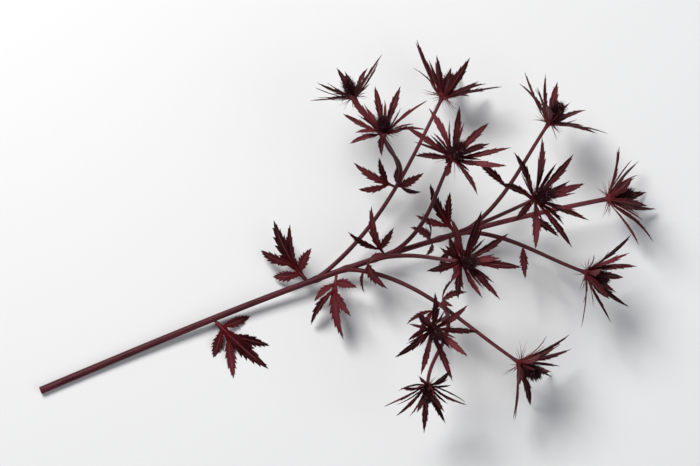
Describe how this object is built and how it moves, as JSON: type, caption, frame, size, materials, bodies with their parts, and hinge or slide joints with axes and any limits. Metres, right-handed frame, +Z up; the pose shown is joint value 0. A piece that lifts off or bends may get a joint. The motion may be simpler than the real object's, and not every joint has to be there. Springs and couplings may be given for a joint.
{
  "type": "sea holly stem",
  "caption": "Cut sea holly stem lying on a surface: a branched stalk with spiny flower cones in ruffs of toothed bracts, and cut leaves at its forks.",
  "frame": {"origin": "on the surface that the stem lies on, below the middle of its box", "axes": "+X along the stem from its cut end to its top head, +Z up"},
  "size_m": [0.5234, 0.323, 0.1548],
  "materials": {
    "stalk": "satin, dyed burgundy with a purplish sheen",
    "bract": "satin, dyed burgundy",
    "cone": "matt, near-black burgundy",
    "leaf": "satin, dark burgundy"
  },
  "bodies": {
    "root": {"cone_crown_left": "cone", "cone_crown_right": "cone", "cone_crown_upper": "cone", "cone_left_end": "cone", "cone_left_inner": "cone", "cone_left_outer": "cone", "cone_middle_left": "cone", "cone_middle_right": "cone", "cone_right_end": "cone", "cone_right_inner": "cone", "cone_right_outer": "cone", "cone_top": "cone", "leaf_crown_fork_left": "leaf", "leaf_crown_fork_right": "leaf", "leaf_crown_fork_upper": "leaf", "leaf_crown_left": "leaf", "leaf_crown_right": "leaf", "leaf_left_fork": "leaf", "leaf_left_inner_fork": "leaf", "leaf_left_outer_fork": "leaf", "leaf_low": "leaf", "leaf_middle_left_fork": "leaf", "leaf_middle_right_fork": "leaf", "leaf_right_fork": "leaf", "leaf_right_inner_fork": "leaf", "leaf_right_outer_fork": "leaf", "leaf_top": "leaf", "ruff_crown_left": "bract", "ruff_crown_right": "bract", "ruff_crown_upper": "bract", "ruff_left_end": "bract", "ruff_left_inner": "bract", "ruff_left_outer": "bract", "ruff_middle_left": "bract", "ruff_middle_right": "bract", "ruff_right_end": "bract", "ruff_right_inner": "bract", "ruff_right_outer": "bract", "ruff_top": "bract", "stalk": "stalk"}
  },
  "joints": []
}
